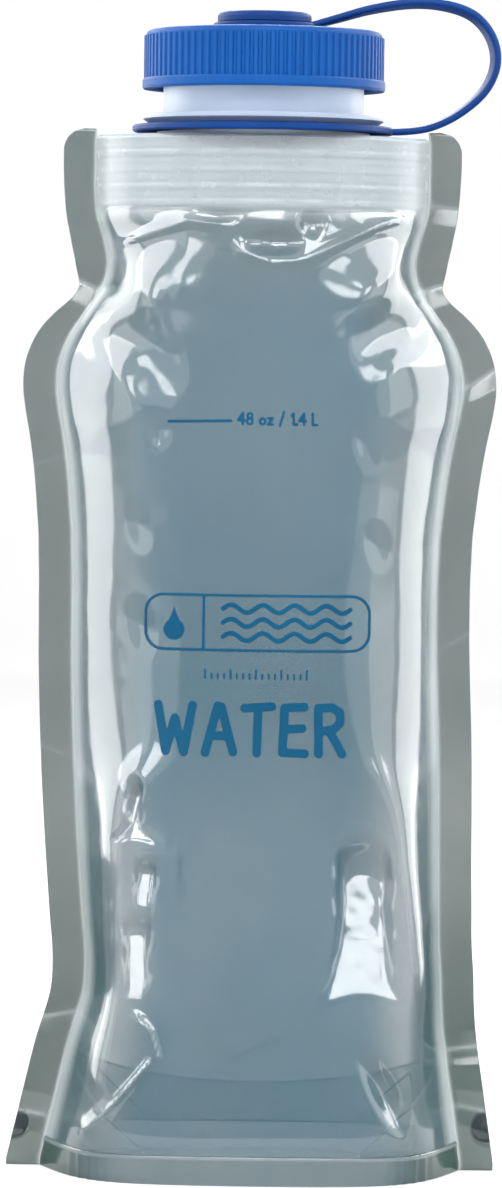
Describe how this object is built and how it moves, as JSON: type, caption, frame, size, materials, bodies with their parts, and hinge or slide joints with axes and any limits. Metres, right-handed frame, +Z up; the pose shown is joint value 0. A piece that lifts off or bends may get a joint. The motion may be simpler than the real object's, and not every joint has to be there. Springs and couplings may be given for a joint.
{
  "type": "folding water bottle",
  "caption": "Soft stand-up pouch bottle of clear film with welded seams, a wide screw neck, a ribbed screw cap and a tether loop that keeps the cap on the neck.",
  "frame": {"origin": "middle of the base, on the surface the bottle stands on", "axes": "+Z up along the neck's axis, -Y out of the printed front, +X towards the tether's loop"},
  "size_m": [0.142, 0.0752, 0.3378],
  "materials": {
    "film": "clear, faintly blue film, glossy and a little wavy",
    "weld": "two films fused together, greyer, with a faint press texture",
    "natural": "uncoloured polyethylene, milky and satin",
    "cap_blue": "satin blue polypropylene",
    "tether_blue": "satin, darker blue, flexible polypropylene"
  },
  "bodies": {
    "bottle": {"left_side_seal": "weld", "right_side_seal": "weld", "front_base_seal": "weld", "back_base_seal": "weld", "left_corner_seal": "weld", "right_corner_seal": "weld", "base_gusset": "film", "spout": "natural"},
    "front_wall": {"front_panel": "film"},
    "back_wall": {"back_panel": "film"},
    "cap_carriage": {"cap_hub": "tether_blue"},
    "cap": {"cap": "cap_blue"},
    "tether_base": {"tether_ring": "tether_blue", "tether_strap": "tether_blue"},
    "tether_head": {"tether_eyelet": "tether_blue"}
  },
  "joints": [
    {"name": "front_press", "type": "slide", "parent": "bottle", "child": "front_wall", "axis": [0, -1, 0], "range_m": [-0.028, 0], "deforming": ["front_panel"]},
    {"name": "back_press", "type": "slide", "parent": "bottle", "child": "back_wall", "axis": [0, 1, 0], "range_m": [-0.0281, 0.0001], "deforming": ["back_panel"]},
    {"name": "cap_lift", "type": "slide", "parent": "bottle", "child": "cap_carriage", "axis": [0, 0, 1], "range_m": [-0.0001, 0.0242]},
    {"name": "cap_turn", "type": "hinge", "parent": "cap_carriage", "child": "cap", "pos_m": [0, 0, 0.3199], "axis": [0, 0, 1], "range_deg": [0, 1440]},
    {"name": "tether_swivel", "type": "hinge", "parent": "bottle", "child": "tether_base", "pos_m": [0, 0, 0.3], "axis": [0, 0, 1], "continuous": true},
    {"name": "tether_lift", "type": "slide", "parent": "tether_base", "child": "tether_head", "axis": [0, 0, 1], "range_m": [-0.0001, 0.0242], "deforming": ["tether_strap"]}
  ],
  "couplings": [
    {"joint": "back_press", "follows": "front_press", "ratio": 1},
    {"joint": "cap_lift", "follows": "cap_turn", "m_per_rad": 0.00095493},
    {"joint": "tether_lift", "follows": "cap_turn", "m_per_rad": 0.00095493}
  ]
}
